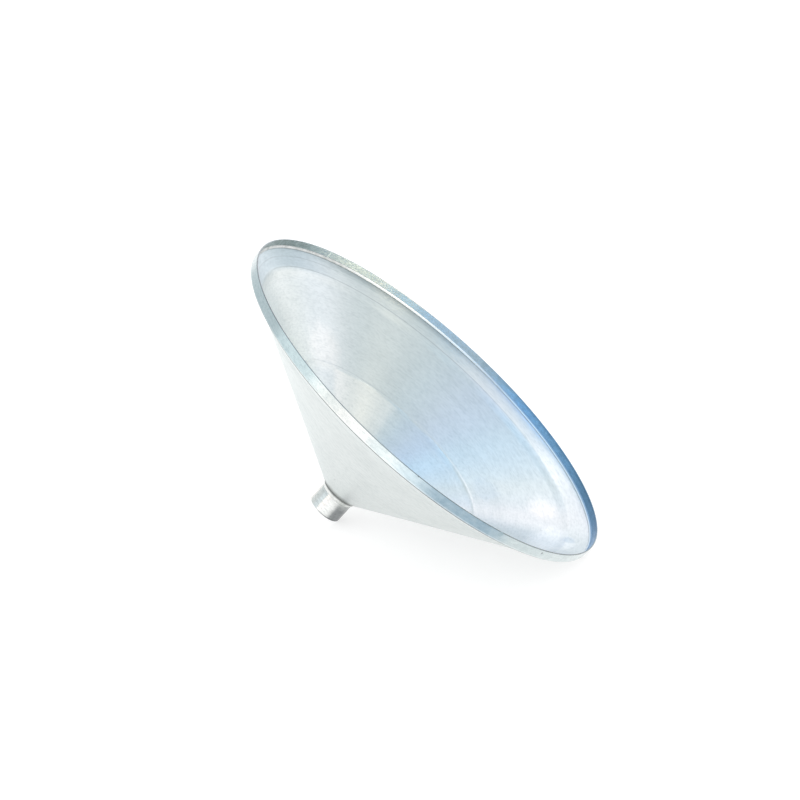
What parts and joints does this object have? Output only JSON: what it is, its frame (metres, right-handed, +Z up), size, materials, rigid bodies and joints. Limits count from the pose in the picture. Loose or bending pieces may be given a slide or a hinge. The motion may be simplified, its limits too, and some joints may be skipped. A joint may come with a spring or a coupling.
{
  "type": "canning funnel",
  "caption": "Wide shallow sheet-metal canning funnel with an upright rim band and a short spout tube, lying on its rim and spout.",
  "frame": {"origin": "middle of the box that holds the funnel, on the surface it lies on", "axes": "+Z up from the surface the funnel lies on; +Y across the mouth; +X the way the open mouth leans, so the funnel's own axis is in the XZ plane, 51.5 degrees above +X"},
  "size_m": [0.2426, 0.3048, 0.1951],
  "materials": {
    "cone_sheet": "satin, with fine turned rings",
    "band_strip": "bright satin, brushed round the rim",
    "spout_metal": "bright satin, brushed round the tube",
    "weld_metal": "dull, slightly rippled weld"
  },
  "bodies": {
    "root": {"funnel_cone": "cone_sheet", "rim_band": "band_strip", "rim_weld": "weld_metal", "spout_tube": "spout_metal", "spout_weld": "weld_metal"}
  },
  "joints": []
}
